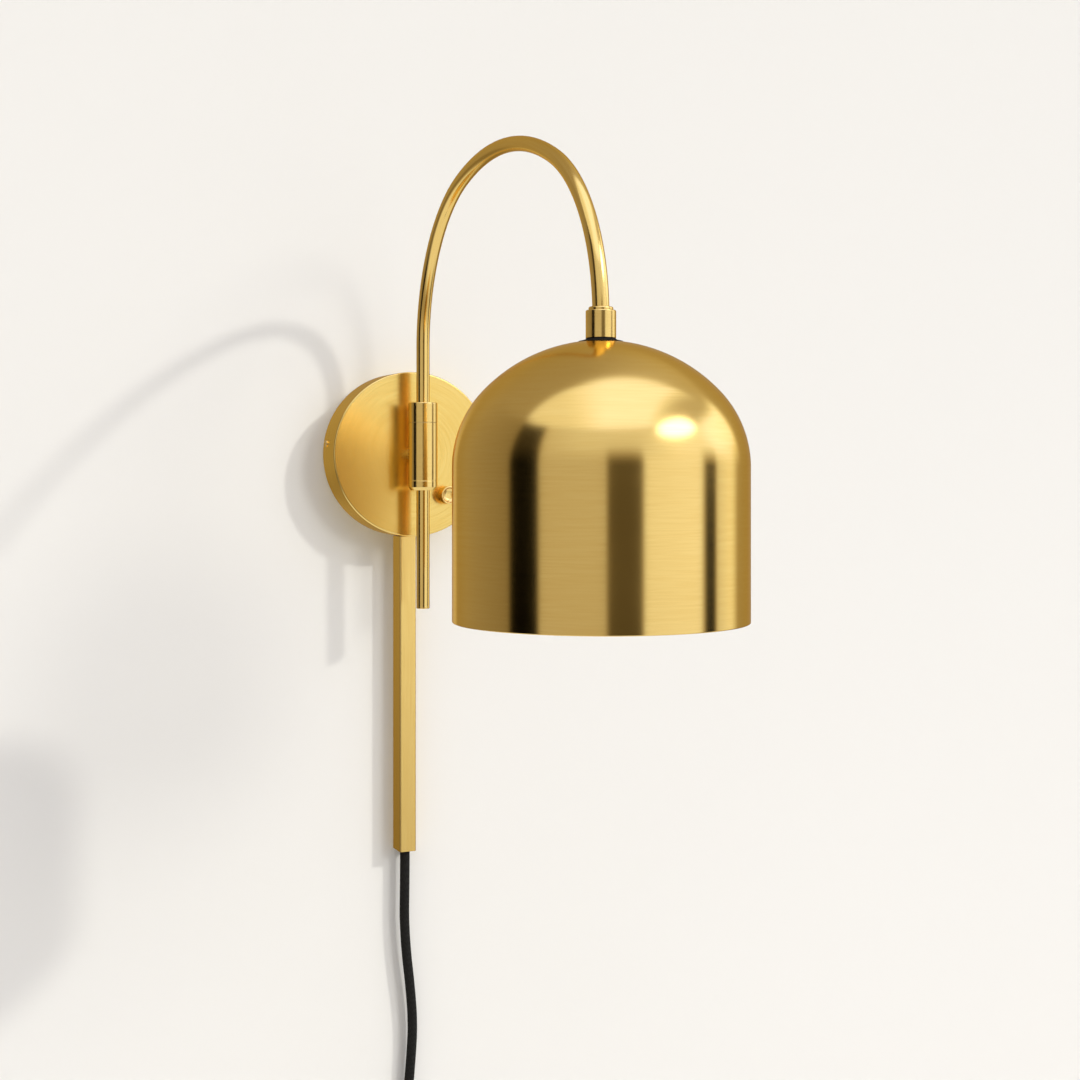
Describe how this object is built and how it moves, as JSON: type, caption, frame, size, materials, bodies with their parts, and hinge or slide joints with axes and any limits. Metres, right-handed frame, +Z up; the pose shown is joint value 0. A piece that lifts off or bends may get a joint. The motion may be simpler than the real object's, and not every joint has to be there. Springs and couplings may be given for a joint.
{
  "type": "arched swing-arm wall sconce with plug-in cord",
  "caption": "Wall sconce with a round canopy, an arched swinging tube arm, a hanging domed metal shade with a bulb, a dimmer knob, a cord cover and a coiled plug-in cord.",
  "frame": {"origin": "centre of the canopy's back on the wall, midway between the bracket's two slots", "axes": "+Z up along the wall, +Y into the wall, +X to the right as seen from the room"},
  "size_m": [0.1722, 0.4487, 0.9102],
  "materials": {
    "satin_brass": "fine brushed satin brass, lacquered",
    "zinc_steel": "zinc-plated steel",
    "bush_polymer": "black nylon, low gloss",
    "gasket_rubber": "soft black rubber",
    "woven_cord": "black braided textile over rubber",
    "plug_polymer": "matt black moulded plastic",
    "blade_brass": "bare stamped brass",
    "socket_phenolic": "black phenolic, low gloss",
    "shell_metal": "bare aluminium",
    "bulb_frost": "frosted white glass",
    "wire_sleeve": "white plastic insulation",
    "connector_polymer": "orange moulded plastic",
    "dimmer_polymer": "black moulded plastic"
  },
  "bodies": {
    "wall_plate": {"mounting_bracket": "zinc_steel", "canopy": "satin_brass", "canopy_side_screws": "satin_brass", "arm_stem": "satin_brass", "stem_washer": "zinc_steel", "stem_locknut": "zinc_steel", "barrel": "satin_brass", "barrel_bush_upper": "bush_polymer", "barrel_bush_lower": "bush_polymer", "stem_lead": "woven_cord", "canopy_wires": "wire_sleeve", "wire_connectors": "connector_polymer", "dimmer_body": "dimmer_polymer", "dimmer_nut": "zinc_steel", "cord_grip": "plug_polymer", "cord_cover": "satin_brass", "cord_cover_rail": "zinc_steel", "cord_in_cover": "woven_cord", "cord_free": "woven_cord", "cord_coil": "woven_cord", "coil_tie": "plug_polymer", "plug_relief": "plug_polymer", "plug_body": "plug_polymer", "plug_blades": "blade_brass"},
    "swing_arm": {"arm_collar": "satin_brass", "arm_collar_screw": "zinc_steel", "arm_tube": "satin_brass", "arm_tail_plug": "satin_brass", "arm_lead": "wire_sleeve", "arm_lock_ring": "satin_brass", "shade_holder": "satin_brass", "threaded_nipple": "zinc_steel", "shade_gasket": "gasket_rubber", "shade": "satin_brass", "shade_locknut": "zinc_steel", "socket_cap": "socket_phenolic", "socket_body": "socket_phenolic", "socket_cap_screws": "zinc_steel", "screw_shell": "shell_metal", "centre_contact": "blade_brass", "bulb_base": "shell_metal", "bulb_glass": "bulb_frost"},
    "knob": {"dimmer_knob": "satin_brass", "dimmer_shaft": "zinc_steel"}
  },
  "joints": [
    {"name": "arm_swivel", "type": "hinge", "parent": "wall_plate", "child": "swing_arm", "pos_m": [0, -0.052, 0], "axis": [0, 0, 1], "range_deg": [-80, 80]},
    {"name": "dimmer_turn", "type": "hinge", "parent": "wall_plate", "child": "knob", "pos_m": [0.026, -0.035, -0.0316], "axis": [0, 1, 0], "range_deg": [0, 270]}
  ]
}
